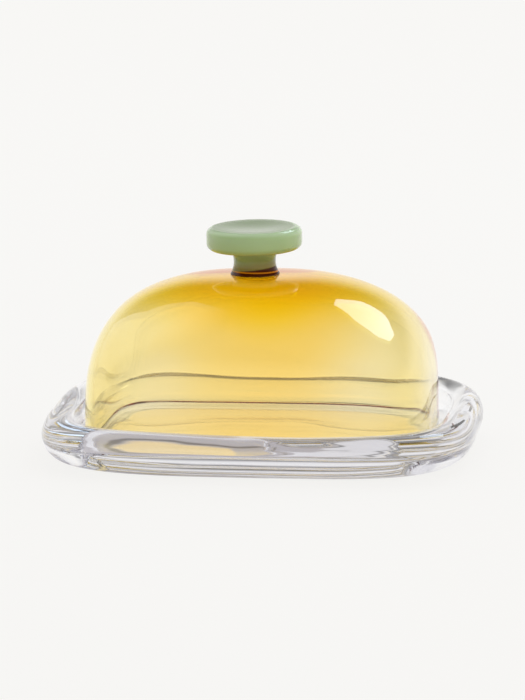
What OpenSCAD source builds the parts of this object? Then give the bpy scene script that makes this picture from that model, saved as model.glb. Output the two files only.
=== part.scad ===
// Covered butter dish in hand-made glass: a heavy clear tray with a rolled rim,
// a blown amber dome that stands in the tray and lifts off, and a jade knob
// fused to the dome's crown. Millimetres, +Z up. The origin is the centre of
// the tray's flat underside, and +X runs along the long side.

/* [Tray] */
// Length over the girth, along X
tray_length = 190; // [150:1:240]
// Width over the girth, along Y
tray_width = 160; // [130:1:200]
// Height of the rim at the two ends
rim_height = 21; // [19:0.5:28]
// How much lower the rim is at the middle of the long sides
rim_dip = 2.4; // [0:0.1:3]
// Height at which the tray is widest
girth_height = 13; // [9:0.5:15]
// How far the edge of the flat foot lies inside the girth
foot_inset = 15; // [8:0.5:22]
// How far the top of the rim lies inside the girth
crest_inset = 7.2; // [4:0.2:9]
// Reach of the rim's rolled inner edge, inwards and down from its top
rim_roll = 4; // [2:0.5:6]
// How far the wall of the well leans out between its roll and its cove
wall_lean = 1; // [0:0.5:4]
// Radius of the cove where the wall meets the floor
floor_cove = 4; // [2:0.5:6]
// Thickness of the glass floor
floor_thickness = 10.2; // [6:0.2:12]

/* [Tray plan] */
// How square the long sides are in plan, 2 is an ellipse
tray_side_power = 7.3; // [4:0.1:10]
// How square the two ends are in plan
tray_end_power = 3.1; // [2.5:0.1:6]
// How square the foot's long sides are in plan
foot_side_power = 3.2; // [2.4:0.1:8]
// How square the foot's two ends are in plan
foot_end_power = 2.4; // [2:0.1:6]

/* [Dome] */
// Gap left all round between the dome's mouth and the cove of the tray
mouth_gap = 3; // [1:0.5:8]
// How far the dome's belly stands out past its mouth
belly = 1.5; // [0:0.1:3]
// Height of the belly above the mouth
belly_height = 6; // [3:0.5:12]
// Height from the mouth to the top of the crown's curve
dome_height = 69.3; // [55:0.5:90]
// Thickness of the blown wall
dome_wall = 2.4; // [1.6:0.1:4]
// Thickness of the glass at the crown, where the knob is fused on
crown_thickness = 4.2; // [3:0.1:7]
// How far the dome stands to the left of the tray's centre
dome_shift = 0.6; // [0:0.1:1.5]

/* [Dome form] */
// How square the mouth's long sides are in plan
mouth_side_power = 9; // [4:0.5:12]
// How square the mouth's two ends are in plan
mouth_end_power = 3.1; // [2.5:0.1:5]
// How square the plan is at the crown
crown_power = 2.25; // [2:0.05:3]
// How fast the mouth's plan rounds off up the dome
plan_fade = 12; // [4:1:20]
// Fullness of the shoulder, sideways
shoulder_width_power = 2.5; // [2:0.05:3.5]
// Fullness of the shoulder, upwards
shoulder_height_power = 3.45; // [2:0.05:4.5]
// Flat on top of the crown, as a share of the dome's size
crown_flat = 0.18; // [0.16:0.01:0.24]

/* [Knob] */
// How far the knob stands to the left of the dome's centre
knob_shift = 4.3; // [0:0.1:6]
// Lean of the knob to the left
knob_lean = 1.2; // [0:0.1:2]
// Radius of the amber collar at its seat
collar_radius = 10.8; // [10:0.1:12]
// Height of the collar above the crown
collar_height = 2.8; // [1.5:0.1:4]
// Depth of the collar's seat in the crown
seat_depth = 1; // [0.6:0.1:1.6]
// Clearance round the collar in its seat
seat_clearance = 0.1; // [0.05:0.05:0.3]
// Height of the disc's underside above the crown
spool_height = 10.4; // [8:0.1:16]
// Radius of the stem at its waist
waist_radius = 9.2; // [7:0.1:10]
// Height of the waist above the crown
waist_height = 5; // [4:0.1:6]
// Radius of the curve that sweeps in to the waist
waist_sweep = 9.5; // [7:0.5:16]
// Radius of the disc
disc_radius = 20.9; // [16:0.1:26]
// Thickness of the disc
disc_thickness = 9.95; // [7:0.05:14]
// Radius of the disc's rounded edges
disc_edge = 2.2; // [1:0.1:3]
// Depth of the shallow dish in the disc's top
dish_depth = 0.6; // [0.2:0.1:1.5]
// Radius of the shallow dish
dish_radius = 16; // [10:0.5:17]

/* [Hidden] */

$fn = 96;
// Plan points on each half of each quarter: a ring has eight times as many
half_side_steps = 10;
ring_size = 8 * half_side_steps;
// Sections along each curved stretch of a profile
foot_steps = 7;
rim_steps = 5;
belly_steps = 3;
shoulder_steps = 15;
// Share of the rim's dip that is left at the foot of the roll
wall_dip = 0.5;

tray_half = [tray_length / 2, tray_width / 2];
floor_inset = crest_inset + rim_roll + wall_lean + floor_cove;
mouth_half = [for (half = tray_half) half - floor_inset - mouth_gap];
girth_power = [tray_side_power, tray_end_power];
foot_power = [foot_side_power, foot_end_power];
mouth_power = [mouth_side_power, mouth_end_power];
top_power = [crown_power, crown_power];

// The profile's last angle, where the shoulder reaches the flat of the crown
crown_angle = acos(pow(crown_flat, shoulder_width_power / 2));
crown_z = floor_thickness + belly_height
    + (dome_height - belly_height) * pow(sin(crown_angle), 2 / shoulder_height_power);
knob_x = -dome_shift - knob_shift;
// Far larger than any cut it is used for
beyond = 10 * disc_radius;

function between(from, to, share) = from + (to - from) * share;

// A quarter of the plan, from the +X end towards the +Y side, as shares of the
// half sizes. The points crowd together at the corner, where the plan bends.
function quarter(power) =
    let (corner = [pow(0.5, 1 / power[0]), pow(0.5, 1 / power[1])])
    concat(
        [for (i = [0:half_side_steps - 1])
            let (y = corner[1] * sin(90 * i / half_side_steps))
            [pow(1 - pow(y, power[1]), 1 / power[0]), y]],
        [for (i = [half_side_steps:-1:1])
            let (x = corner[0] * sin(90 * i / half_side_steps))
            [x, pow(1 - pow(x, power[0]), 1 / power[1])]]);

// The whole plan: a rectangle with bowed sides and generous corners
function plan(power) =
    let (
        first = quarter(power),
        half = concat(first, [[0, 1]],
            [for (i = [len(first) - 1:-1:1]) [-first[i][0], first[i][1]]]))
    concat(half, [for (point = half) -point]);

// One level ring of a shell, let down along the long sides by dip
function ring(half, z, power, dip = 0) =
    [for (share = plan(power))
        [half[0] * share[0], half[1] * share[1], z - dip * pow(cos(90 * share[0]), 2)]];

// A ring of the tray, a given distance inside its girth
function tray_ring(inset, z, dip_share = 0, squareness = 1) =
    ring([for (half = tray_half) half - inset], z,
        between(foot_power, girth_power, squareness), rim_dip * dip_share);

function tray_rings() = concat(
    // The foot sweeps out and up to the girth
    [for (i = [0:foot_steps])
        let (angle = 90 * i / foot_steps)
        tray_ring(foot_inset * (1 - sin(angle)), girth_height * (1 - cos(angle)), 0, sin(angle))],
    // The girth rounds over to the crest of the rim
    [for (i = [1:rim_steps])
        let (angle = 90 * i / rim_steps)
        tray_ring(crest_inset * (1 - cos(angle)),
            between(girth_height, rim_height, sin(angle)), sin(angle))],
    // The crest rolls down into the well
    [for (i = [1:rim_steps])
        let (angle = 90 * i / rim_steps)
        tray_ring(crest_inset + rim_roll * sin(angle),
            rim_height - rim_roll * (1 - cos(angle)), between(1, wall_dip, i / rim_steps))],
    // The cove turns the wall into the floor
    [for (i = [0:rim_steps])
        let (angle = 90 * i / rim_steps)
        tray_ring(crest_inset + rim_roll + wall_lean + floor_cove * (1 - cos(angle)),
            floor_thickness + floor_cove * (1 - sin(angle)),
            wall_dip * max(0, 1 - 2 * i / rim_steps))]);

// The rings of the dome's outer face (wall = 0) or inner face, from the mouth up
function dome_rings(wall, crown) =
    let (
        belly_half = [for (half = mouth_half) half + belly - wall],
        rise = dome_height - belly_height - crown)
    concat(
        [for (i = [0:belly_steps - 1])
            let (tuck = belly * pow(1 - i / belly_steps, 2))
            ring([for (half = belly_half) half - tuck],
                floor_thickness + belly_height * i / belly_steps, mouth_power)],
        [for (i = [0:shoulder_steps])
            let (
                angle = crown_angle * i / shoulder_steps,
                share = pow(cos(angle), 2 / shoulder_width_power))
            ring([for (half = belly_half) half * share],
                floor_thickness + belly_height + rise * pow(sin(angle), 2 / shoulder_height_power),
                between(top_power, mouth_power, pow(share, plan_fade)))]);

function reversed(list) = [for (i = [len(list) - 1:-1:0]) list[i]];

// A closed solid through a list of rings, with a flat lid on the first and the last
module loft(rings) {
    points = [for (ring = rings) each ring];
    last = (len(rings) - 1) * ring_size;
    walls = [for (level = [0:len(rings) - 2], i = [0:ring_size - 1])
        let (
            low = level * ring_size,
            next = (i + 1) % ring_size)
        [low + i, low + ring_size + i, low + ring_size + next, low + next]];
    polyhedron(points, concat(
        [[for (i = [0:ring_size - 1]) i]],
        walls,
        [[for (i = [ring_size - 1:-1:0]) last + i]]));
}

// The knob's own frame: on the crown, leaning a little to the left
module on_crown() {
    translate([knob_x, 0, crown_z])
        rotate([0, -knob_lean, 0])
            children();
}

// Half the outline of collar and stem together, swept in to a waist
module spool_outline(low, high) {
    difference() {
        translate([0, low])
            square([collar_radius, high - low]);
        translate([waist_radius + waist_sweep, waist_height])
            circle(r = waist_sweep);
    }
}

module tray() {
    color([0.92, 0.93, 0.95, 0.4])
        loft(tray_rings());
}

module dome() {
    color([0.93, 0.68, 0.15, 0.6])
        difference() {
            translate([-dome_shift, 0, 0])
                loft(concat(
                    reversed(dome_rings(dome_wall, crown_thickness)), dome_rings(0, 0)));
            on_crown()
                translate([0, 0, -seat_depth])
                    cylinder(r = collar_radius + seat_clearance, h = beyond);
        }
}

module knob_collar() {
    color([0.36, 0.14, 0.02])
        on_crown()
            rotate_extrude()
                spool_outline(-seat_depth, collar_height);
}

module knob_stem() {
    color([0.42, 0.5, 0.22])
        on_crown()
            rotate_extrude()
                spool_outline(collar_height, spool_height);
}

module knob_disc() {
    dish_sphere = (pow(dish_radius, 2) + pow(dish_depth, 2)) / (2 * dish_depth);
    color([0.6, 0.7, 0.5])
        on_crown()
            translate([0, 0, spool_height])
                difference() {
                    rotate_extrude() {
                        square([disc_radius - disc_edge, disc_thickness]);
                        translate([0, disc_edge])
                            square([disc_radius, disc_thickness - 2 * disc_edge]);
                        for (z = [disc_edge, disc_thickness - disc_edge])
                            translate([disc_radius - disc_edge, z])
                                circle(r = disc_edge);
                    }
                    translate([0, 0, disc_thickness - dish_depth + dish_sphere])
                        sphere(r = dish_sphere);
                }
}

tray();
dome();
knob_collar();
knob_stem();
knob_disc();
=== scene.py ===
import math

import bpy
import numpy as np
from bpy.props import FloatProperty, FloatVectorProperty, IntProperty, PointerProperty
from mathutils import Matrix, Vector, noise


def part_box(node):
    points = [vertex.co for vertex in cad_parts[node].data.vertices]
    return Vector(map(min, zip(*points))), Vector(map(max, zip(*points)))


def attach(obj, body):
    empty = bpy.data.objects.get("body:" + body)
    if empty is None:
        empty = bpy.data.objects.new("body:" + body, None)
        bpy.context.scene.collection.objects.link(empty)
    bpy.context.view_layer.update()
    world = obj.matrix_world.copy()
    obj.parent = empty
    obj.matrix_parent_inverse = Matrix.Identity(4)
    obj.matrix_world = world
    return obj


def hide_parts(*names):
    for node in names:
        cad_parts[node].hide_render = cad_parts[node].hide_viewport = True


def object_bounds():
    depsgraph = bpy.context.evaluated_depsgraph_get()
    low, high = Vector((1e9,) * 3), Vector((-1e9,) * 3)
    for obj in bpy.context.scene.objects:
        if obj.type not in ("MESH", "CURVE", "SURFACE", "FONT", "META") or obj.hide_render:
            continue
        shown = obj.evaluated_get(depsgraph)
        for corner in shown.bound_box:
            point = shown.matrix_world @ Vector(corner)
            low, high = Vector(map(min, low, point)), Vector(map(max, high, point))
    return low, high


bl_info = {
    "name": "Glass butter dish",
    "version": (1, 0, 0),
    "blender": (4, 5, 0),
    "location": "View3D > Sidebar > Butter Dish",
    "description": "Builds a clear glass tray, its blown amber cover and the jade knob",
    "category": "Object",
}

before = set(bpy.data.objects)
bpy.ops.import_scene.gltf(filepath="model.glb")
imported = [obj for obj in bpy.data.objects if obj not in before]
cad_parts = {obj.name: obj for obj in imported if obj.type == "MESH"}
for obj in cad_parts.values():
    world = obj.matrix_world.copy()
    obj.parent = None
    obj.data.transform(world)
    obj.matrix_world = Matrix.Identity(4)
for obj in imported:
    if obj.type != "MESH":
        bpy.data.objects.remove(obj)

MM = 0.001
CAD_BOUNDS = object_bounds()
TRAY_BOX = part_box("tray")
DOME_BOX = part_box("dome")
COLLAR_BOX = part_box("knob_collar")
DISC_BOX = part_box("knob_disc")


def in_mm(value):
    """A length of the frame, in the millimetres the shapes are worked out in."""
    return round(value / MM, 3)


def length(name, description, default, low=0.0, high=1000.0):
    """A length in millimetres that a user can change."""
    return FloatProperty(name=name, description=description, default=default,
                         min=low, max=high, precision=2)


def number(name, description, default, low=0.0, high=100.0):
    """A plain number that a user can change."""
    return FloatProperty(name=name, description=description, default=default,
                         min=low, max=high, precision=3)


def colour(name, description, default):
    """A colour that a user can change."""
    return FloatVectorProperty(name=name, description=description, default=default,
                               subtype="COLOR", size=3, min=0.0, max=1.0)


# ---------------------------------------------------------------- settings

class TraySettings(bpy.types.PropertyGroup):
    """Sizes in millimetres and the glass of the tray."""
    length: length("Length", "Length over the girth", in_mm(TRAY_BOX[1].x - TRAY_BOX[0].x))
    width: length("Width", "Width over the girth", in_mm(TRAY_BOX[1].y - TRAY_BOX[0].y))
    rim_height: length("Rim height", "Height of the rim at the two ends", in_mm(TRAY_BOX[1].z))
    rim_dip: length("Rim dip", "How much lower the rim is along the front", 2.4)
    girth_height: length("Girth height", "Height at which the tray is widest", 13.0)
    foot_inset: length("Foot inset", "How far the foot's edge lies inside the girth", 15.0)
    crest_inset: length("Crest inset", "How far the rim's top lies inside the girth", 7.2)
    rim_roll: length("Rim roll", "Reach of the rim's rolled inner edge", 6.5)
    roll_drop: length("Roll drop", "Height of the rim's rolled inner edge", 2.5)
    wall_lean: length("Wall lean", "How far the well's wall leans", 0.4)
    floor_cove: length("Floor cove", "Radius of the cove where wall meets floor", 0.9)
    cove_rise: length("Cove rise", "Height of the cove where wall meets floor", 1.6)
    bowl_lean: length("Bowl lean", "Lean of the wall where the well is a bowl", 0.3)
    bowl_cove: length("Bowl cove", "Reach of the cove where the well is a bowl", 4.0)
    bowl_rise: length("Bowl rise", "Height of the cove where the well is a bowl", 5.5)
    slope_from: length("Slope from", "Where the wall begins to slope, along X", -5.0, -200.0)
    slope_to: length("Slope to", "Where the wall slopes like a bowl, along X", 50.0, -200.0)
    thread_depth: length("Thread depth", "Depth of the glass threads drawn round the rim", 0.016)
    wobble: length("Wobble", "How far the hand-shaped rim strays from true", 0.35)
    tint: colour("Tint", "Tint of the clear glass", (0.97, 0.972, 0.985))


class DomeSettings(bpy.types.PropertyGroup):
    """Sizes in millimetres and the glass of the dome."""
    wall: length("Wall", "Thickness of the blown wall", 2.4)
    crown: length("Crown", "Thickness of the glass at the crown", 3.6)
    lip: length("Lip", "Radius of the rounded edges of the mouth", 0.5)
    slimming: length("Slimming", "How much narrower than its box each end is above the mouth", 1.4)
    belly: length("Belly", "How far the belly stands out past the mouth", 1.5)
    belly_height: length("Belly height", "Height of the belly above the mouth", 6.0)
    sag: length("Sag", "How far the crown is pressed down under the knob", 0.7)
    seat: length("Seat", "How much thinner the crown is under the knob", 0.4)
    ream: length("Ream", "Depth of the slow waves in the blown wall", 0.03)
    end_colour: colour("End colour", "What one wall lets through at the two ends",
                       (0.99, 0.962, 1.0))
    middle_colour: colour("Middle colour", "What one wall lets through below the knob",
                          (1.0, 0.868, 0.57))
    crown_colour: colour("Crown colour", "What one wall lets through beside the knob",
                         (1.0, 0.82, 0.01))
    top_colour: colour("Top colour", "What the thicker top takes away besides",
                       (1.0, 0.87, 0.03))
    foot_colour: colour("Foot colour", "What the foot of the dome takes away besides",
                        (1.0, 0.98, 0.85))
    amber: colour("Amber", "Colour that the depth of the glass gives", (0.965, 0.86, 0.0))
    amber_density: number("Amber density", "How fast the glass colours with depth, per metre",
                          140.0, 0.0, 5000.0)


class KnobSettings(bpy.types.PropertyGroup):
    """Sizes in millimetres and the glass of the knob."""
    lean: number("Lean", "Lean of the knob to the left, in degrees", 1.2, -10.0, 10.0)
    nod: number("Nod", "Lean of the knob to the front, in degrees", 1.7, -10.0, 10.0)
    sideways: length("Sideways", "How far the knob strays to the right", 0.6, -5.0)
    waist_radius: length("Waist radius", "Radius of the stem at its waist", 9.2)
    waist_height: length("Waist height", "Height of the waist above the crown", 5.0)
    waist_sweep: length("Waist sweep", "Radius of the curve in to the waist", 9.5)
    disc_edge: length("Disc edge", "Radius of the disc's rounded edges", 3.0)
    dish_depth: length("Dish depth", "Depth of the shallow dish in the top", 0.6)
    dish_radius: length("Dish radius", "Radius of the shallow dish", 16.0)
    jade: colour("Jade", "Milky green of the disc", (0.42, 0.56, 0.28))
    # Painted light and shade: low on the disc the green is painted darker and yellower, as shade
    # and amber light thrown up from the dome
    jade_low_bounce_and_shade: colour("Low jade", "Yellower green low on the disc", (0.41, 0.50, 0.17))
    # Painted light: the disc's upper rounded edge is painted a paler green, as if it caught more
    # light
    jade_edge_light: colour("Edge jade", "Paler green of the disc's upper edge", (0.52, 0.66, 0.42))
    # Partly a denser green, partly painted shade under the disc: the stem is painted darker and
    # yellower
    jade_deep_and_shaded: colour("Deep jade", "Yellower green of the stem", (0.30, 0.36, 0.10))
    # Painted shade: the disc's flat top is painted a darker, greyer green than its sides, against
    # the strong light from overhead
    jade_top_shade: colour("Jade top", "Greyer green of the disc's top", (0.31, 0.39, 0.23))
    golden: colour("Golden", "Where amber shades the foot of the stem", (0.32, 0.26, 0.045))
    molten: colour("Molten amber", "Dark amber drawn up into the stem", (0.12, 0.035, 0.002))
    bead: colour("Bead", "Dark amber of the collar", (0.09, 0.016, 0.001))
    # Painted glint: orange painted in a thin ring round the collar, where it looks lit through
    bead_glint: colour("Bead glint", "Where the collar is lit through", (1.0, 0.32, 0.01))


class StudioSettings(bpy.types.PropertyGroup):
    """The floor, the light and the camera."""
    backdrop: colour("Backdrop", "Colour of the floor and the backdrop", (0.947, 0.939, 0.921))
    sky_dim: number("Overhead", "Brightness straight overhead", 0.95)
    gloss_dim: number("Overhead in gloss", "The same, where a gloss shows it", 0.06)
    glass_dim: number("Overhead in glass", "The same, where glass shows it", 0.35)
    floor_glow: number("Floor glow", "Share of the floor's own brightness", 0.91, 0.0, 1.0)
    # Share of the floor's painted light and shade, where glass or gloss shows the floor
    glass_glow: number("Glow in glass", "The same share, where the glass shows the floor",
                       0.9, 0.0, 1.0)
    clear_glow: number("Clear glow", "Brightness of the backdrop that glass lets through", 1.06)
    # Painted light and shade on the floor, seen only through glass and in gloss
    shade_colour: colour("Shade", "The floor under the heavy rim", (0.52, 0.49, 0.51))
    front_shade: colour("Front shade", "The floor just in front of the tray", (0.78, 0.77, 0.80))
    back_shade: colour("Back shade", "The floor under the rim at the back", (0.86, 0.84, 0.80))
    shade_line_strength: number("Seam shade", "Shade along the tray's foot", 0.6, 0.0, 1.0)
    edge_shade: number("Edge shade", "Shade round the tray", 0.8, 0.0, 1.0)
    pool_colour: colour("Pool colour", "Light that has come through the dome's foot",
                        (1.0, 0.79, 0.44))
    azimuth: number("Azimuth", "Camera's turn round the dish, in degrees", 6.55, -360.0, 360.0)
    elevation: number("Elevation", "Camera's height above the horizon, in degrees", 9.7)
    distance: number("Distance", "Camera's distance, in metres", 2.5)
    lens: number("Lens", "Focal length, in millimetres", 291.9, 1.0, 5000.0)
    shift_x: FloatProperty(name="Shift X", description="Sideways shift of the lens",
                           default=-0.00323, precision=5)
    shift_y: FloatProperty(name="Shift Y", description="Upward shift of the lens",
                           default=-0.00156, precision=5)


class DishSettings(bpy.types.PropertyGroup):
    """Everything a user can change on the dish."""
    tray: PointerProperty(type=TraySettings)
    dome: PointerProperty(type=DomeSettings)
    knob: PointerProperty(type=KnobSettings)
    studio: PointerProperty(type=StudioSettings)
    fineness: IntProperty(name="Fineness", description="Points on each half quarter of a ring",
                          default=32, min=4, max=128)


# ---------------------------------------------------------------- shaders

GLASS_IOR = 1.5
BLACK, WHITE = (0.0, 0.0, 0.0), (1.0, 1.0, 1.0)
# Coat on the jade, and how far below its top the band of painted light on the disc's
# upper edge begins and ends
JADE_GLOSS, TOP_EDGE = 0.6, (0.0032, 0.0012)
# What the depth of each kind of glass lets through, and how fast it does so, per metre
CLEAR_DEPTH = ((0.80, 0.80, 0.85), 6.0)
BEAD_DEPTH = ((0.88, 0.77, 0.0), 900.0)
# Turns per metre of each material's noise, along X, Y and Z
CLEAR_REAM, AMBER_REAM = (14.0, 14.0, 420.0), (30.0, 30.0, 60.0)
BEAD_SWIRL, JADE_CLOUD = (70.0, 70.0, 420.0), (60.0, 60.0, 140.0)
FLOOR_PATCHES = (40.0, 90.0, 1.0)
# Depth of each glass's bump, in metres
CLEAR_BUMP, AMBER_BUMP, BEAD_BUMP, JADE_BUMP = 0.000008, 0.00004, 0.0001, 0.00001
# Distances from the crown, in metres, over which the amber pales: across the dome, round
# the knob, just below the crown and down at the foot
ACROSS_FADE, CROWN_FADE, TOP_FADE, FOOT_FADE = (
    (0.022, 0.06), (0.004, 0.024), (0.002, 0.020), (0.045, 0.060))


class Signal:
    """A number socket. Arithmetic on it adds Math nodes."""

    def __init__(self, shader, socket):
        self.shader, self.socket = shader, socket

    def math(self, operation, *others):
        node = self.shader.node("ShaderNodeMath", {"operation": operation}, [self, *others])
        return Signal(self.shader, node.outputs[0])

    def __add__(self, other):
        return self.math("ADD", other)

    def __mul__(self, other):
        return self.math("MULTIPLY", other)

    def __sub__(self, other):
        return self.math("SUBTRACT", other)

    def __rsub__(self, other):
        return (self * -1.0) + other

    def __truediv__(self, other):
        return self.math("DIVIDE", other)

    def __pow__(self, other):
        return self.math("POWER", other)

    __radd__, __rmul__ = __add__, __mul__

    def greatest(self, other):
        return self.math("MAXIMUM", other)

    def between(self, low, high):
        """0 below low, 1 above high, eased in between."""
        node = self.shader.node("ShaderNodeMapRange", {"interpolation_type": "SMOOTHSTEP"},
                                {"Value": self, "From Min": low, "From Max": high})
        return Signal(self.shader, node.outputs["Result"])


class Shader:
    """The nodes of one material or world."""

    def __init__(self, owner):
        owner.use_nodes = True
        self.owner, self.tree = owner, owner.node_tree
        self.tree.nodes.clear()

    def node(self, kind, settings=None, sockets=None):
        """Adds a node: its settings first, then the values or links of its sockets."""
        node = self.tree.nodes.new(kind)
        for name, value in (settings or {}).items():
            setattr(node, name, value)
        pairs = sockets.items() if isinstance(sockets, dict) else enumerate(sockets or [])
        for key, value in pairs:
            self.feed(node.inputs[key], value)
        return node

    def feed(self, socket, value):
        if isinstance(value, Signal):
            value = value.socket
        if isinstance(value, bpy.types.NodeSocket):
            self.tree.links.new(value, socket)
        elif isinstance(value, (int, float)):
            socket.default_value = value
        else:
            value = tuple(value)
            room = len(socket.default_value)
            socket.default_value = value + (1.0,) * (room - len(value))

    def signal(self, socket):
        return Signal(self, socket)

    def place(self):
        """Position on the piece, in metres of the frame at rest."""
        return self.node("ShaderNodeTexCoord").outputs["Object"]

    def axes(self, vector):
        """The three parts of a vector."""
        node = self.node("ShaderNodeSeparateXYZ", {}, [vector])
        return [self.signal(out) for out in node.outputs]

    def scaled(self, vector, factors):
        """A vector with each part multiplied by its own factor."""
        return self.node("ShaderNodeVectorMath", {"operation": "MULTIPLY"},
                         [vector, factors]).outputs["Vector"]

    def distance(self, vector, point):
        node = self.node("ShaderNodeVectorMath", {"operation": "DISTANCE"}, [vector, point])
        return self.signal(node.outputs["Value"])

    def oblong(self, x, y, half_x, half_y, power):
        """1 on the edge of a rounded rectangle, less inside it."""
        return ((x / half_x) ** power + (y / half_y) ** power) ** (1 / power)

    def noise(self, vector, scale, detail=2.0, distortion=0.0):
        node = self.node("ShaderNodeTexNoise", {}, {
            "Vector": vector, "Scale": scale, "Detail": detail, "Distortion": distortion})
        return self.signal(node.outputs["Fac"])

    def mix(self, factor, first, second):
        """A colour between two colours."""
        node = self.node("ShaderNodeMix", {"data_type": "RGBA"},
                         {"Factor": factor, 6: first, 7: second})
        return node.outputs[2]

    def multiply(self, first, second):
        """One colour times another."""
        node = self.node("ShaderNodeMix", {"data_type": "RGBA", "blend_type": "MULTIPLY"},
                         {"Factor": 1.0, 6: first, 7: second})
        return node.outputs[2]

    def bump(self, height, depth):
        """Normal of a surface whose height is given as a share of depth, in metres."""
        return self.node("ShaderNodeBump", {},
                         {"Height": height, "Strength": 1.0, "Distance": depth}).outputs[0]

    def principled(self, sockets):
        return self.node("ShaderNodeBsdfPrincipled", {}, sockets)

    def finish(self, surface, volume=None):
        """Joins the shader to the material's output."""
        out = self.node("ShaderNodeOutputMaterial", {}, {"Surface": surface})
        if volume is not None:
            self.feed(out.inputs["Volume"], volume)


def material(name):
    return Shader(bpy.data.materials.new(name))


def absorbing(shader, tint, density):
    """Plain glass depth colour: both sockets are set, never linked."""
    return shader.node("ShaderNodeVolumeAbsorption", {},
                       {"Color": tint, "Density": density}).outputs[0]


def clear_glass(tray):
    """Clear glass with faint threads, in the cool tint of heavy hand-made ware."""
    s = material("clear_glass")
    place = s.place()
    ream = s.noise(s.scaled(place, CLEAR_REAM), 1.0, 2.0, 0.4)
    body = s.principled({
        "Base Color": s.mix(ream.between(0.3, 0.7), tray.tint, WHITE),
        "Roughness": 0.0,
        "IOR": GLASS_IOR,
        "Transmission Weight": 1.0,
        "Normal": s.bump(ream, CLEAR_BUMP),
    })
    s.finish(body.outputs[0], absorbing(s, *CLEAR_DEPTH))
    return s.owner


def amber_glass(dome, crown):
    """Blown amber glass: deepest round the knob, deep down the middle, pale at the ends.

    Distances are in metres from the crown, across the dome's width only, with the
    height at less than its full weight."""
    s = material("amber_glass")
    place = s.place()
    _, _, height = s.axes(place)
    ream = s.noise(s.scaled(place, AMBER_REAM), 1.0, 1.0, 0.3)
    width, _, rise = middle_weights = (1.0, 0.0, 0.6)
    middle = s.distance(s.scaled(place, middle_weights),
                        (crown[0] * width, 0.0, crown[2] * rise))
    middle = middle + (ream - 0.5) * 0.008
    width, _, rise = deep_weights = (0.75, 0.0, 0.9)
    deep_aside = 0.007
    deep = s.distance(s.scaled(place, deep_weights),
                      ((crown[0] + deep_aside) * width, 0.0, crown[2] * rise))
    tint = s.mix(middle.between(*ACROSS_FADE), dome.middle_colour, dome.end_colour)
    tint = s.mix(deep.between(*CROWN_FADE), dome.crown_colour, tint)
    drop = (height * -1.0) + crown[2]
    tint = s.multiply(tint, s.mix(drop.between(*TOP_FADE), dome.top_colour, WHITE))
    tint = s.multiply(tint, s.mix(drop.between(*FOOT_FADE), WHITE, dome.foot_colour))
    body = s.principled({
        "Base Color": tint,
        "Roughness": 0.0,
        "IOR": GLASS_IOR,
        "Transmission Weight": 1.0,
        "Normal": s.bump(ream, AMBER_BUMP),
    })
    s.finish(body.outputs[0], absorbing(s, dome.amber, dome.amber_density))
    return s.owner


def dark_amber_glass(knob, molten):
    """The thick amber bead at the knob's foot, with golden glass drawn over it and a painted
    glint.
    """
    s = material("dark_amber_glass")
    place = s.place()
    x, _, z = s.axes(place)
    swirl = s.noise(s.scaled(place, BEAD_SWIRL), 1.0, 1.0, 0.6)
    height, spread, slope = molten
    line = z - x * slope + (swirl - 0.5) * 0.0015
    # Painted glint: a thin level ring below the line is painted orange, as if lit through
    lit = z.between(height - 0.0019, height - 0.0016)
    lit = lit * (1.0 - z.between(height - 0.0014, height - 0.001)) * (0.5 + swirl)
    tint = s.mix(lit, knob.bead, knob.bead_glint)
    tint = s.mix(line.between(height - spread, height + spread), tint, knob.golden)
    body = s.principled({
        "Base Color": tint,
        "Roughness": 0.08,
        "IOR": GLASS_IOR,
        "Specular IOR Level": 0.25,
        "Transmission Weight": 0.1,
        "Normal": s.bump(swirl, BEAD_BUMP),
    })
    s.finish(body.outputs[0], absorbing(s, *BEAD_DEPTH))
    return s.owner


def jade_glass(name, knob, deep, low, high, top=None, molten=None):
    """Milky green glass, yellower low down and greyer on top, mostly as painted light and shade.

    top is the flat of the disc: its middle, height and radius. molten is where dark amber
    is drawn up into the glass: its height, spread and slope."""
    s = material(name)
    place = s.place()
    x, _, z = s.axes(place)
    cloud = s.noise(s.scaled(place, JADE_CLOUD), 1.0, 3.0, 0.8)
    # Darker, yellower green low down: painted shade and amber light on the disc; on the stem
    # partly a denser green, partly painted shade under the disc
    rise = (z + (cloud - 0.5) * 0.003).between(low, high)
    tint = s.mix(rise, deep, knob.jade)
    gloss = JADE_GLOSS
    if top is not None:
        middle, height, radius = top
        away = s.distance(s.scaled(place, (1.0, 1.0, 0.0)), (middle, 0.0, 0.0))
        # Painted light: the disc's upper rounded edge is painted a paler green
        upper = z.between(height - TOP_EDGE[0], height - TOP_EDGE[1])
        tint = s.mix(upper, tint, knob.jade_edge_light)
        # Painted shade: the flat of the disc's top is painted a darker, greyer green
        flat = upper * (1.0 - away.between(radius - 0.001, radius + 0.001))
        tint = s.mix(flat, tint, knob.jade_top_shade)
        gloss = (1.0 - flat) * gloss
    if molten is not None:
        height, spread, slope = molten
        line = z - x * slope + (cloud - 0.5) * 0.0025
        tint = s.mix(line.between(height + 2 * spread, height + 9 * spread), knob.golden, tint)
        tint = s.mix(line.between(height - spread, height + spread), knob.molten, tint)
    fine = s.noise(place, 900.0, 2.0)
    body = s.principled({
        "Base Color": tint,
        "Roughness": 0.06 + cloud * 0.08,
        "IOR": GLASS_IOR,
        "Subsurface Weight": 0.35,
        "Subsurface Radius": (1.0, 1.3, 0.8),
        "Subsurface Scale": 0.003,
        "Specular IOR Level": 0.15,
        "Coat Weight": gloss,
        "Coat Roughness": 0.03,
        "Normal": s.bump(fine, JADE_BUMP),
    })
    s.finish(body.outputs[0])
    return s.owner


# ---------------------------------------------------------------- shapes

def blend(first, second, share):
    return first + (second - first) * share


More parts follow.
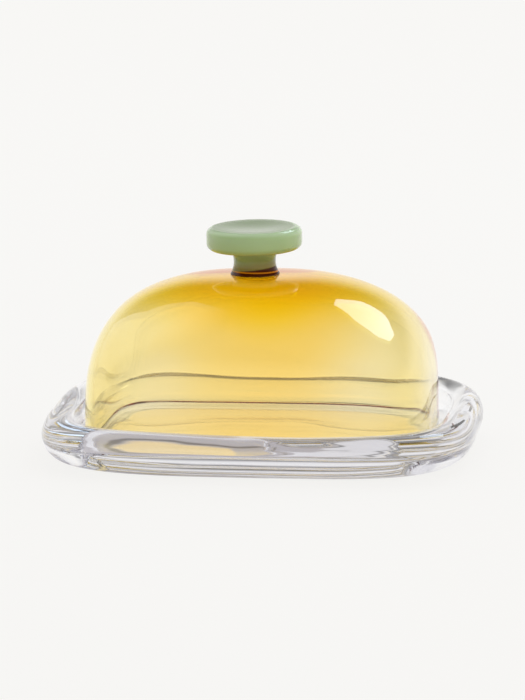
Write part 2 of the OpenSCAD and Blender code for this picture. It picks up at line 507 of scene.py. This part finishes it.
def quarter(powers, steps):
    """A quarter of a plan whose sides bow out, from (1, 0) round to (0, 1).

    The points crowd together at the corner, where the plan bends."""
    p, q = powers
    turn = np.sin(np.arange(steps + 1) * math.pi / 2 / steps)
    y = 0.5 ** (1 / q) * turn[:-1]
    x = 0.5 ** (1 / p) * turn[::-1]
    side = np.column_stack([(1 - y ** q) ** (1 / p), y])
    end = np.column_stack([x, (1 - x ** p) ** (1 / q)])
    return np.vstack([side, end])


def plan(powers, steps):
    """The whole plan, anticlockwise from +X, as shares of the half sizes."""
    first = quarter(powers, steps)
    mirrored = first[-2:0:-1] * (-1, 1)
    half = np.vstack([first, mirrored])
    return np.vstack([half, -half])


def ring(halves, z, powers, steps, dip=0.0):
    """One ring in millimetres, let down by dip along the front; the back rises in two waves."""
    shares = plan(powers, steps)
    along = np.clip((shares[:, 0] - DIP_CENTRE) / (1 - DIP_CENTRE * np.sign(shares[:, 0])), -1, 1)
    drop = np.cos(along * math.pi / 2) ** 2 * (shares[:, 1] < 0)
    left = shares[:, 0] < 0
    waves = np.sin(np.abs(shares[:, 0]) ** np.where(left, *BACK_CROWDING) * math.pi) ** 2
    drop -= np.where(left, *BACK_RISE) * waves * (shares[:, 1] > 0)
    return np.column_stack([shares * halves, z - dip * drop])


def closed_loft(name, start, rings, end, glass):
    """A mesh through rings of equal size, closed to a point at either end."""
    count = len(rings[0])
    points = np.vstack([[start], *rings, [end]]) * MM
    faces = []
    last = len(points) - 1
    for i in range(count):
        after = (i + 1) % count
        faces.append((0, 1 + after, 1 + i))
        for level in range(len(rings) - 1):
            low = 1 + level * count
            faces.append((low + i, low + after, low + count + after, low + count + i))
        top = 1 + (len(rings) - 1) * count
        faces.append((top + i, top + after, last))
    mesh = bpy.data.meshes.new(name)
    mesh.from_pydata(points.tolist(), [], faces)
    mesh.validate()
    mesh.polygons.foreach_set("use_smooth", [True] * len(mesh.polygons))
    mesh.materials.append(glass)
    mesh.update()
    piece = bpy.data.objects.new(name, mesh)
    bpy.context.scene.collection.objects.link(piece)
    return piece


def shrunk(outline, shares, z):
    """Level rings that fill a flat face inside an outline."""
    middle = outline.mean(axis=0)
    rings = []
    for share in shares:
        inner = middle + (outline - middle) * share
        inner[:, 2] = z
        rings.append(inner)
    return rings


def quarter_turn(steps, first=0):
    """Sine and cosine pairs through a right angle."""
    return [(math.sin(a), math.cos(a), i / steps)
            for i, a in ((i, math.pi / 2 * i / steps) for i in range(first, steps + 1))]


def ripple(points, along, across, seed):
    """Slow noise, with its turns per millimetre in plan and in height."""
    return np.array([
        noise.noise(Vector((x * along, y * along, z * across + seed))) for x, y, z in points])


def normals_of(rings):
    """Rough outward normals of a stack of rings."""
    grid = np.array(rings)
    around = np.roll(grid, -1, axis=1) - np.roll(grid, 1, axis=1)
    up = np.gradient(grid, axis=0)
    normal = np.cross(around, up)
    return normal / np.maximum(np.linalg.norm(normal, axis=2, keepdims=True), 1e-9)


def replace_node(piece, node, body):
    """Puts a finished piece in the place of its plain solid."""
    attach(piece, body)
    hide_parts(node)


# ---------------------------------------------------------------- tray

# Where along a long side the rim is lowest, as a share of its half
DIP_CENTRE = 0.14
# Height of the back rim's left and right wave, as a share of the front's dip
BACK_RISE = (1.24, 1.5)
# How far each of the two waves crowds out towards its end; 1 is even
BACK_CROWDING = (1.8, 1.0)
# How square the long sides and the two ends are in plan, at the foot and at the girth
FOOT_POWERS, GIRTH_POWERS = (3.2, 2.4), (7.3, 3.1)
# Rings up the foot's sweep, over the rim, and in each curve of the well
FOOT_STEPS, RIM_STEPS, WELL_STEPS = 60, 30, 20
# Noise of the glass: turns per millimetre in plan and in height, and a seed
THREADS, FINE_THREADS, WOBBLE = (0.012, 0.8, 3.0), (0.02, 1.7, 9.0), (0.03, 0.03, 20.0)
FINE_SHARE = 0.4
FLOOR_WAVES, FLOOR_WAVE_DEPTH = (0.05, 0.0, 40.0), 0.06
# Height above foot and floor over which the noise sets in
SET_IN = 3
# Sizes of the rings that fill the flat faces
FOOT_FILL = (0.3, 0.6, 0.85, 0.97)
FLOOR_FILL = (0.97, 0.88, 0.75, 0.6, 0.45, 0.3, 0.15)


def well_floor():
    """Height of the tray's floor: the dome stands on it."""
    return in_mm(DOME_BOX[0].z)


def eased(value, low, high):
    """0 below low, 1 above high, eased in between."""
    share = np.clip((value - low) / (high - low), 0, 1)
    return share * share * (3 - 2 * share)


def well_rings(tray, level, lean, cove, rise):
    """The well's side: the rim's roll, a straight wall and a cove to the floor."""
    floor = well_floor()
    foot_line = tray.crest_inset + tray.rim_roll + lean + cove
    rings = [level(tray.crest_inset + tray.rim_roll * s,
                   tray.rim_height - tray.roll_drop * (1 - c), 1 - share / 2)
             for s, c, share in quarter_turn(WELL_STEPS, 1)]
    rings += [level(foot_line - cove * c, floor + rise * (1 - s),
                    max(0.0, 1 - 2 * share) / 2) for s, c, share in quarter_turn(WELL_STEPS)]
    return rings


def tray_rings(tray, steps):
    """The rings of the tray: up its outside to the crest, and down into the well."""
    half = np.array([tray.length, tray.width]) / 2
    foot, girth = np.array(FOOT_POWERS), np.array(GIRTH_POWERS)

    def level(inset, z, dip=0.0, square=1.0):
        return ring(half - inset, z, blend(foot, girth, square), steps, tray.rim_dip * dip)

    outer = [level(tray.foot_inset * (1 - s), tray.girth_height * (1 - c), 0.0, s)
             for s, c, _ in quarter_turn(FOOT_STEPS)]
    outer += [level(tray.crest_inset * (1 - c), blend(tray.girth_height, tray.rim_height, s), s)
              for s, c, _ in quarter_turn(RIM_STEPS, 1)]
    steep = well_rings(tray, level, tray.wall_lean, tray.floor_cove, tray.cove_rise)
    bowl = well_rings(tray, level, tray.bowl_lean, tray.bowl_cove, tray.bowl_rise)
    inner = []
    for upright, slope in zip(steep, bowl):
        share = eased(upright[:, 0], tray.slope_from, tray.slope_to)[:, None]
        inner.append(blend(upright, slope, share))
    return outer, inner


class DISH_OT_tray(bpy.types.Operator):
    """Make the clear glass tray with its rolled rim"""
    bl_idname = "dish.make_tray"
    bl_label = "Tray"

    def execute(self, context):
        tray = context.scene.dish.tray
        steps = context.scene.dish.fineness
        outer, inner = tray_rings(tray, steps)
        rings = outer + inner
        normal = normals_of(rings)
        floor = well_floor()
        for level, flat in enumerate(rings):
            ground = 0 if level < len(outer) else floor
            lift = np.clip((flat[:, 2] - ground) / SET_IN, 0, 1)
            threads = ripple(flat, *THREADS) + FINE_SHARE * ripple(flat, *FINE_THREADS)
            slow = ripple(flat, *WOBBLE)
            rings[level] = flat + normal[level] * (
                lift * (threads * tray.thread_depth + slow * tray.wobble))[:, None]
        under = shrunk(rings[0], FOOT_FILL, 0.0)
        inside = shrunk(rings[-1], FLOOR_FILL, floor)
        for flat in inside:
            flat[:, 2] += FLOOR_WAVE_DEPTH * ripple(flat, *FLOOR_WAVES)
        piece = closed_loft("tray_glass", (0, 0, 0), under + rings + inside,
                            (0, 0, floor), clear_glass(tray))
        replace_node(piece, "tray", "tray")
        return {"FINISHED"}


# ---------------------------------------------------------------- dome

# How square the long sides and the two ends are in plan, at the mouth and at the crown
MOUTH_POWERS, CROWN_POWERS = (9.0, 3.1), (2.25, 2.25)
# Fullness of the shoulder, sideways and upwards
SHOULDER_POWERS = (2.5, 3.45)
# How fast the mouth's plan rounds off up the dome
PLAN_FADE = 12.0
# Size of the flat that the solid has on its crown, as a share of the dome's
CROWN_FLAT = 0.18
# Rings round the lip, up the belly, and on each half of the shoulder
LIP_STEPS, BELLY_STEPS, SHOULDER_STEPS = 8, 12, 30
# The crown is let down most inside the first radius and not at all past the second
PRESSED_WITHIN, PRESSED_TO = 8.0, 34.0
# Height above which a ring counts as part of the crown
CROWN_FROM = 60
# Noise of the blown wall: turns per millimetre in plan and in height, one seed for each
# face, and the height over which it sets in
DOME_WAVES, OUTER_SEED, INNER_SEED, DOME_SET_IN = (0.045, 0.06), 0.0, 50.0, 6


def dome_face(dome, steps, wall, crown, half, height, floor):
    """The rings of one face, from the lip's middle up; wall = 0 is the outer face."""
    mouth, top = np.array(MOUTH_POWERS), np.array(CROWN_POWERS)
    lip = dome.lip
    side = 1 if wall == 0 else -1
    rings = []

    def inset(h):
        tuck = dome.belly * max(0.0, 1 - h / dome.belly_height) ** 2
        round_in = lip - math.sqrt(max(0.0, lip ** 2 - max(0.0, lip - h) ** 2))
        return wall + tuck + side * round_in

    heights = [lip * (1 - c) for _, c, _ in quarter_turn(LIP_STEPS)]
    heights += list(np.linspace(lip, dome.belly_height, BELLY_STEPS)[1:-1])
    for h in heights:
        slim = np.array([dome.slimming * eased(h, 0.0, dome.belly_height), 0.0])
        rings.append(ring(half - slim - inset(h), floor + h, mouth, steps))
    half = half - np.array([dome.slimming, 0.0])
    rise = height - dome.belly_height - crown
    # Pairs of the ring's size and its height above the belly, both as shares
    for share, up in quarter(SHOULDER_POWERS, SHOULDER_STEPS)[:-1]:
        powers = blend(top, mouth, share ** PLAN_FADE)
        rings.append(ring((half - wall) * share, floor + dome.belly_height + rise * up,
                          powers, steps))
    return rings


def pressed(flat, x, sag):
    """How far the crown is let down at each point of a ring round the knob's seat."""
    reach = np.hypot(flat[:, 0] - x, flat[:, 1])
    return sag * (1 - eased(reach, PRESSED_WITHIN, PRESSED_TO)) * (flat[:, 2] > CROWN_FROM)


class DISH_OT_dome(bpy.types.Operator):
    """Make the blown amber dome"""
    bl_idname = "dish.make_dome"
    bl_label = "Dome"

    def execute(self, context):
        dome = context.scene.dish.dome
        steps = context.scene.dish.fineness
        low, high = DOME_BOX
        centre = (low + high) / 2
        half = np.array([in_mm(high.x - low.x), in_mm(high.y - low.y)]) / 2
        floor = in_mm(low.z)
        knob_x = in_mm(crown_point().x) - in_mm(centre.x)
        # The solid stops at its flat, so the rounded crown would come out a little higher
        flat_top = (1 - CROWN_FLAT ** SHOULDER_POWERS[0]) ** (1 / SHOULDER_POWERS[1])
        height = dome.belly_height + (in_mm(high.z) - floor - dome.belly_height) / flat_top
        outer = dome_face(dome, steps, 0.0, 0.0, half, height, floor)
        inner = dome_face(dome, steps, dome.wall, dome.crown, half, height, floor)
        for face, seed, sag in ((outer, OUTER_SEED, dome.sag),
                                (inner, INNER_SEED, dome.sag - dome.seat)):
            normal = normals_of(face)
            for level, flat in enumerate(face):
                lift = np.clip((flat[:, 2] - floor) / DOME_SET_IN, 0, 1)
                waves = ripple(flat, *DOME_WAVES, seed) * dome.ream
                flat = flat + normal[level] * (lift * waves)[:, None]
                flat[:, 2] -= pressed(flat, knob_x, sag)
                face[level] = flat
        rings = inner[::-1] + outer
        top = (0, 0, floor + height - dome.sag)
        under = (0, 0, floor + height - dome.crown - dome.sag + dome.seat)
        piece = closed_loft("dome_glass", under, rings, top,
                            amber_glass(dome, (centre.x, 0.0, DOME_BOX[1].z)))
        piece.data.transform(Matrix.Translation((centre.x, centre.y, 0.0)))
        replace_node(piece, "dome", "cover")
        return {"FINISHED"}


# ---------------------------------------------------------------- knob

# Heights above the crown: the top of the collar and the underside of the disc
COLLAR_TOP, DISC_SEAT = 2.8, 10.4
DISC_THICKNESS = 9.95
# How far the pressed edge of the disc swells past the solid's
DISC_SWELL = 0.25
# The bead's least radius, and the heights at which its wall starts and its top lies in the stem
BEAD_RADIUS, BEAD_FOOT, BEAD_TOP = 9.45, -0.9, 2.85
# Heights at which the stem starts, inside the bead, and how far it runs on into the disc
STEM_FOOT, STEM_REACH, STEM_CLOSE = 2.6, 1.0, 0.02
# Heights over which the darker, yellower green low on the jade fades into plain green, from the
# crown for the stem and from the disc's foot. On the disc it is painted shade and amber light
# from the dome; on the stem it is partly a denser green, partly painted shade under the disc
STEM_CLEARS, DISC_CLEARS = (0.004, 0.0125), (-0.003, 0.009)
# The line between dark amber and jade: height above the crown and spread, in metres,
# and its slope along X
MOLTEN_HEIGHT, MOLTEN_SPREAD, MOLTEN_SLOPE = 0.0024, 0.0005, 0.12
# How far each turned shape strays from round, and the seed of its noise
COLLAR_SWAY, STEM_SWAY, DISC_SWAY = (0.25, 5.0), (0.15, 12.0), (0.12, 30.0)
SWAY_WAVES = (0.08, 0.1)
# Points round each turned shape, and rings up its curves
TURNED_POINTS = 160
COLLAR_STEPS, STEM_STEPS, DISC_EDGE_STEPS, DISH_STEPS = 24, 40, 14, 26


def on_crown(piece, knob):
    """Moves a turned shape from its own axis to its place on the crown."""
    crown = crown_point()
    turn = (Matrix.Rotation(-math.radians(knob.lean), 4, "Y")
            @ Matrix.Rotation(math.radians(knob.nod), 4, "X"))
    aside = Vector((knob.sideways * MM, 0.0, 0.0))
    piece.data.transform(Matrix.Translation(crown + aside) @ turn)
    piece.data.update()


def crown_point():
    """Where the knob's axis meets the crown."""
    x = (COLLAR_BOX[0].x + COLLAR_BOX[1].x) / 2
    return Vector((x, 0.0, DOME_BOX[1].z))


def molten_line():
    """Where dark amber gives way to jade: its height, spread and slope."""
    return crown_point().z + MOLTEN_HEIGHT, MOLTEN_SPREAD, MOLTEN_SLOPE


def waist(knob, z):
    """Radius of the spool at a height above the crown."""
    reach = knob.waist_sweep ** 2 - (z - knob.waist_height) ** 2
    inner = knob.waist_radius + knob.waist_sweep - math.sqrt(max(0.0, reach))
    return min(inner, in_mm(COLLAR_BOX[1].x - COLLAR_BOX[0].x) / 2)


def turned(name, profile, glass, knob, sway, seed):
    """A lathe-like shape through (radius, height) pairs, with a little hand-made sway."""
    count = TURNED_POINTS
    angles = np.arange(count) * 2 * math.pi / count
    rings = []
    for radius, z in profile[1:-1]:
        flat = np.column_stack([radius * np.cos(angles), radius * np.sin(angles),
                                np.full(count, z)])
        stray = ripple(flat, *SWAY_WAVES, seed) * sway * min(1.0, radius / 8)
        flat[:, :2] *= (1 + stray / max(radius, 1e-6))[:, None]
        rings.append(flat)
    piece = closed_loft(name, (0, 0, profile[0][1]), rings, (0, 0, profile[-1][1]), glass)
    on_crown(piece, knob)
    return piece


class DISH_OT_collar(bpy.types.Operator):
    """Make the dark amber bead that fuses the knob to the crown"""
    bl_idname = "dish.make_collar"
    bl_label = "Collar"

    def execute(self, context):
        knob = context.scene.dish.knob
        radius = in_mm(COLLAR_BOX[1].x - COLLAR_BOX[0].x) / 2
        profile = [(0, -0.5), (radius * 0.5, -0.6), (radius * 0.8, -0.8), (radius * 0.96, -1.1)]
        for z in np.linspace(BEAD_FOOT, COLLAR_TOP, COLLAR_STEPS):
            profile.append((max(waist(knob, z), BEAD_RADIUS), z))
        profile += [(9.0, BEAD_TOP), (5.0, BEAD_TOP), (0, BEAD_TOP)]
        piece = turned("collar_glass", profile, dark_amber_glass(knob, molten_line()), knob,
                       *COLLAR_SWAY)
        replace_node(piece, "knob_collar", "cover")
        return {"FINISHED"}


class DISH_OT_stem(bpy.types.Operator):
    """Make the waisted jade stem"""
    bl_idname = "dish.make_stem"
    bl_label = "Stem"

    def execute(self, context):
        knob = context.scene.dish.knob
        base = crown_point().z
        top = in_mm(DISC_BOX[0].z - base) + STEM_REACH
        profile = [(0, STEM_FOOT), (5, STEM_FOOT), (8.6, STEM_FOOT), (9.2, STEM_FOOT + 0.1)]
        profile += [(waist(knob, z), z) for z in np.linspace(BEAD_TOP, top, STEM_STEPS)]
        profile += [(5.0, top + STEM_CLOSE), (0, top + STEM_CLOSE)]
        # The stem is painted darker and yellower low down: partly a denser green, partly painted
        # shade under the disc
        low, high = STEM_CLEARS
        glass = jade_glass("jade_glass_stem", knob, knob.jade_deep_and_shaded, base + low, base + high,
                           molten=molten_line())
        piece = turned("stem_glass", profile, glass, knob, *STEM_SWAY)
        replace_node(piece, "knob_stem", "cover")
        return {"FINISHED"}


class DISH_OT_disc(bpy.types.Operator):
    """Make the jade disc with its shallow dished top"""
    bl_idname = "dish.make_disc"
    bl_label = "Disc"

    def execute(self, context):
        knob = context.scene.dish.knob
        radius = in_mm(DISC_BOX[1].x - DISC_BOX[0].x) / 2
        lean = math.sin(math.radians(knob.lean))
        bottom = DISC_SEAT
        top = bottom + DISC_THICKNESS
        edge = knob.disc_edge
        # The box is that of a leaning disc, so it is a little wider than the disc
        radius = radius - DISC_THICKNESS * lean / 2 + DISC_SWELL
        profile = [(0, bottom)] + [(r, bottom) for r in np.linspace(4, radius - edge, 8)]
        for s, c, _ in quarter_turn(DISC_EDGE_STEPS, 1):
            profile.append((radius - edge + edge * s, bottom + edge * (1 - c)))
        for z in np.linspace(bottom + edge, top - edge, 10)[1:]:
            profile.append((radius, z))
        for s, c, _ in quarter_turn(DISC_EDGE_STEPS, 1):
            profile.append((radius - edge + edge * c, top - edge + edge * s))
        for r in np.linspace(radius - edge, 0.0, DISH_STEPS)[1:]:
            share = min(1.0, r / knob.dish_radius)
            profile.append((r, top - knob.dish_depth * (1 - share ** 2) ** 1.5))
        foot, low, high = DISC_BOX[0].z, *DISC_CLEARS
        flat_top = ((DISC_BOX[0].x + DISC_BOX[1].x) / 2, DISC_BOX[1].z, (radius - edge) * MM)
        # The disc's green is painted darker and yellower low down, as shade and amber light from
        # the dome
        glass = jade_glass("jade_glass_disc", knob, knob.jade_low_bounce_and_shade, foot + low, foot + high,
                           top=flat_top)
        piece = turned("disc_glass", profile, glass, knob, *DISC_SWAY)
        replace_node(piece, "knob_disc", "cover")
        return {"FINISHED"}


# ---------------------------------------------------------------- stage

FLOOR_REACH, FLOOR_DROP = 6.0, 0.0002
# Heights in the sky, as the sine of the elevation, over which it darkens
PLAIN_SKY, GLOSS_SKY, GLASS_SKY = (0.3, 0.75), (0.12, 0.5), (0.2, 0.6)
# Borders of the painted light and shade on the floor, as sizes of the outline of the dome's mouth
POOL_EDGE, SHADE_LINE_INSIDE, SHADE_LINE_OUTSIDE = (0.9, 0.92), (0.912, 0.925), (0.93, 0.945)
FRONT_EDGE = (1.13, 1.16)
# The same, as sizes of the rim's outline
RIM_EDGE, EDGE_INSIDE, EDGE_OUTSIDE = (0.93, 0.97), (1.0, 1.03), (1.08, 1.14)
# Distance from the middle, in metres, over which the back and the front take their own painted
# shade
HALFWAY = (0.0, 0.03)
# Square of the distance along X over which the edge's painted shade fades towards the two ends
SIDE_FADE = (0.0055, 0.0075)
CEILING_PLAN = ((-0.19, -2.6), (-0.3, 0.3), (-0.62, 1.03), (-1.2, 1.6),
                (-3.0, 5.0), (-6.0, 5.0), (-6.0, -2.6))
SENSOR_WIDTH = 36.0
# Share of the dish's height that the camera aims at
AIM_HEIGHT = 0.45
# Light is followed through this many faces of glass
BOUNCES = 32


def backdrop_world(studio):
    """Pale all round; glass and gloss see it darken overhead, as a studio's ceiling does."""
    world = bpy.data.worlds.new("studio_world")
    bpy.context.scene.world = world
    s = Shader(world)
    _, _, up = s.axes(s.node("ShaderNodeTexCoord").outputs["Generated"])
    path = s.node("ShaderNodeLightPath").outputs
    seen = s.signal(path["Is Camera Ray"])
    gloss = s.signal(path["Is Glossy Ray"])
    through = s.signal(path["Is Transmission Ray"])
    plain = 1.0 - up.between(*PLAIN_SKY) * (1.0 - studio.sky_dim)
    in_gloss = 1.0 - up.between(*GLOSS_SKY) * (1.0 - studio.gloss_dim)
    darkening = studio.clear_glow - studio.glass_dim
    in_glass = studio.clear_glow - up.between(*GLASS_SKY) * darkening
    strength = plain + gloss * (in_gloss - plain)
    strength = strength + through * (in_glass - strength)
    sky = s.node("ShaderNodeBackground", {}, {"Color": studio.backdrop,
                                              "Strength": strength.greatest(seen)})
    s.node("ShaderNodeOutputWorld", {}, {"Surface": sky.outputs[0]})


def floor_material(studio):
    """A pale floor that shows as the backdrop and still takes the dish's shadow.

    Where glass or gloss shows it, it also has painted light and shade in place of what heavy
    glass throws: amber light under the dome, grey shade under the rim and round the tray, and a
    dark line just inside the outline of the dome's mouth."""
    s = material("studio_floor")
    path = s.node("ShaderNodeLightPath").outputs
    through = s.signal(path["Is Transmission Ray"]).greatest(s.signal(path["Is Glossy Ray"]))
    place = s.place()
    x, y, _ = s.axes(place)
    patch = s.noise(s.scaled(place, FLOOR_PATCHES), 1.0, 1.0, 0.5) - 0.5
    low, high = DOME_BOX
    back, front = y.between(*HALFWAY), (y * -1.0).between(*HALFWAY)
    mouth = s.oblong(x, y, (high.x - low.x) / 2, (high.y - low.y) / 2, 6.0) + patch * 0.06
    mouth = mouth + back * 0.07
    rim = s.oblong(x, y, CAD_BOUNDS[1].x, CAD_BOUNDS[1].y, 4.0) + patch * 0.02
    # At the front the painted pool of light draws back on the right, along a slanting line
    wedge = front * (x + (y + 0.055) * 1.5).between(-0.012, 0.002)
    # Painted light: an amber pool on the floor under the dome
    pool = 1.0 - (mouth + wedge * 0.075).between(*POOL_EDGE)
    # Painted shade: grey under the rim, with its own shades at the back and in front
    pale = (front * (mouth + x * 6.0).between(*FRONT_EDGE)).greatest(rim.between(*RIM_EDGE))
    shade = s.mix(back, studio.shade_colour, studio.back_shade)
    outside = s.mix(front, studio.backdrop, studio.front_shade)
    light = s.mix(pale, shade, outside)
    light = s.mix(pool, light, studio.pool_colour)
    # Painted shade: a dark line just inside the outline of the dome's mouth, and a dark band round
    # the rim at the back
    shade_line = mouth.between(*SHADE_LINE_INSIDE) * (1.0 - mouth.between(*SHADE_LINE_OUTSIDE))
    side = (x * x).between(*SIDE_FADE)
    edge = rim.between(*EDGE_INSIDE) * (1.0 - rim.between(*EDGE_OUTSIDE))
    edge = edge * (1.0 - side) * back
    dark = (shade_line * studio.shade_line_strength).greatest(edge * studio.edge_shade)
    paint = s.principled({"Base Color": studio.backdrop, "Roughness": 0.9, "IOR": 1.2})
    plain = s.node("ShaderNodeEmission", {}, {"Color": studio.backdrop, "Strength": 1.0})
    light = s.mix(dark, light, BLACK)
    # The painted light and shade glow for rays that come through glass or from gloss
    pooled = s.node("ShaderNodeEmission", {}, {"Color": light, "Strength": studio.clear_glow})
    seen = s.signal(path["Is Camera Ray"])
    direct = s.node("ShaderNodeMixShader", {}, {
        "Fac": seen * studio.floor_glow, 1: paint.outputs[0], 2: plain.outputs[0]})
    both = s.node("ShaderNodeMixShader", {}, {
        "Fac": through * studio.glass_glow, 1: direct.outputs[0], 2: pooled.outputs[0]})
    s.finish(both.outputs[0])
    return s.owner


def make_floor(studio):
    """A large flat table just under the dish."""
    reach, under = FLOOR_REACH, -FLOOR_DROP
    corners = [(-reach, -reach, under), (reach, -reach, under),
               (reach, reach, under), (-reach, reach, under)]
    mesh = bpy.data.meshes.new("studio_floor")
    mesh.from_pydata(corners, [], [(0, 1, 2, 3)])
    mesh.materials.append(floor_material(studio))
    floor = bpy.data.objects.new("studio_floor", mesh)
    bpy.context.scene.collection.objects.link(floor)


def facing(azimuth, elevation, distance, roll):
    """Where a light stands that faces the dish; azimuth 0 is in front of it."""
    a, e = math.radians(azimuth), math.radians(elevation)
    way = Vector((math.sin(a) * math.cos(e), -math.cos(a) * math.cos(e), math.sin(e)))
    turn = way.to_track_quat("Z", "Y").to_matrix().to_4x4()
    place = Matrix.Translation(Vector((0.0, 0.0, 0.05)) + way * distance)
    return place @ turn @ Matrix.Rotation(math.radians(roll), 4, "Z")


def glowing(name, corners, place, shader):
    """A flat light that the camera does not see."""
    mesh = bpy.data.meshes.new(name)
    mesh.from_pydata(corners, [], [tuple(range(len(corners)))])
    mesh.materials.append(shader.owner)
    lamp = bpy.data.objects.new(name, mesh)
    lamp.matrix_world = place
    lamp.visible_camera = False
    bpy.context.scene.collection.objects.link(lamp)


def octagon_box(name, place, radius, tone, radiance, in_glass):
    """An eight-sided softbox. Rays that glass has bent see only a share of it."""
    s = material(name)
    through = s.signal(s.node("ShaderNodeLightPath").outputs["Is Transmission Ray"])
    share = 1.0 - through * (1.0 - in_glass)
    glow = s.node("ShaderNodeEmission", {}, {"Color": tone, "Strength": share * radiance})
    s.finish(glow.outputs[0])
    angles = [(i + 0.5) * math.pi / 4 for i in range(8)]
    corners = [(radius * math.cos(a), radius * math.sin(a), 0.0) for a in angles]
    glowing(name, corners, place, s)


def ceiling_panel(name, height, radiance):
    """A broad pale ceiling over the left of the set, which fades towards the front."""
    s = material(name)
    x, y, _ = s.axes(s.place())
    fade = y.between(-1.2, 0.4) * (x * -1.0).between(0.19, 0.6)
    tone = s.mix(fade, BLACK, WHITE)
    s.finish(s.node("ShaderNodeEmission", {}, {"Color": tone, "Strength": radiance}).outputs[0])
    corners = [(x, y, 0.0) for x, y in CEILING_PLAN]
    glowing(name, corners, Matrix.Translation((0.0, 0.0, height)), s)


def make_camera(studio):
    """A long lens from a little above the dish, turned and shifted as the settings say."""
    low, high = CAD_BOUNDS
    aim = Vector(((low.x + high.x) / 2, (low.y + high.y) / 2, high.z * AIM_HEIGHT))
    a, e = math.radians(studio.azimuth), math.radians(studio.elevation)
    back = Vector((math.sin(a) * math.cos(e), -math.cos(a) * math.cos(e), math.sin(e)))
    data = bpy.data.cameras.new("camera")
    data.lens, data.sensor_width = studio.lens, SENSOR_WIDTH
    data.shift_x, data.shift_y = studio.shift_x, studio.shift_y
    data.clip_end = 100.0
    camera = bpy.data.objects.new("camera", data)
    camera.location = aim + back * studio.distance
    camera.rotation_euler = (-back).to_track_quat("-Z", "Y").to_euler()
    bpy.context.scene.collection.objects.link(camera)
    bpy.context.scene.camera = camera


class DISH_OT_stage(bpy.types.Operator):
    """Make the floor, the light and the camera"""
    bl_idname = "dish.make_stage"
    bl_label = "Stage"

    def execute(self, context):
        studio = context.scene.dish.studio
        backdrop_world(studio)
        make_floor(studio)
        key_place = facing(azimuth=150.0, elevation=45.0, distance=1.5, roll=-10.0)
        octagon_box("key_softbox", key_place, radius=0.32, tone=(0.72, 0.86, 1.0),
                    radiance=4.4, in_glass=0.35)
        ceiling_panel("ceiling_panel", height=1.6, radiance=1.0)
        make_camera(studio)
        view = context.scene.view_settings
        view.view_transform = "Standard"
        cycles = context.scene.cycles
        cycles.max_bounces = cycles.transmission_bounces = cycles.glossy_bounces = BOUNCES
        return {"FINISHED"}


# ---------------------------------------------------------------- add-on

STEPS = (DISH_OT_tray, DISH_OT_dome, DISH_OT_collar, DISH_OT_stem, DISH_OT_disc, DISH_OT_stage)


class DISH_PT_panel(bpy.types.Panel):
    """Lists the steps that build the dish"""
    bl_label = "Butter Dish"
    bl_idname = "DISH_PT_panel"
    bl_space_type = "VIEW_3D"
    bl_region_type = "UI"
    bl_category = "Butter Dish"

    def draw(self, context):
        for step in STEPS:
            self.layout.operator(step.bl_idname)


CLASSES = (TraySettings, DomeSettings, KnobSettings, StudioSettings, DishSettings,
           *STEPS, DISH_PT_panel)


def register():
    for cls in CLASSES:
        bpy.utils.register_class(cls)
    bpy.types.Scene.dish = PointerProperty(type=DishSettings)


def unregister():
    del bpy.types.Scene.dish
    for cls in reversed(CLASSES):
        bpy.utils.unregister_class(cls)


def main():
    """Builds the dish step by step."""
    register()
    for step in STEPS:
        group, name = step.bl_idname.split(".")
        result = getattr(getattr(bpy.ops, group), name)()
        if result != {"FINISHED"}:
            raise RuntimeError(f"{step.bl_label} was not made")


if __name__ == "__main__":
    main()
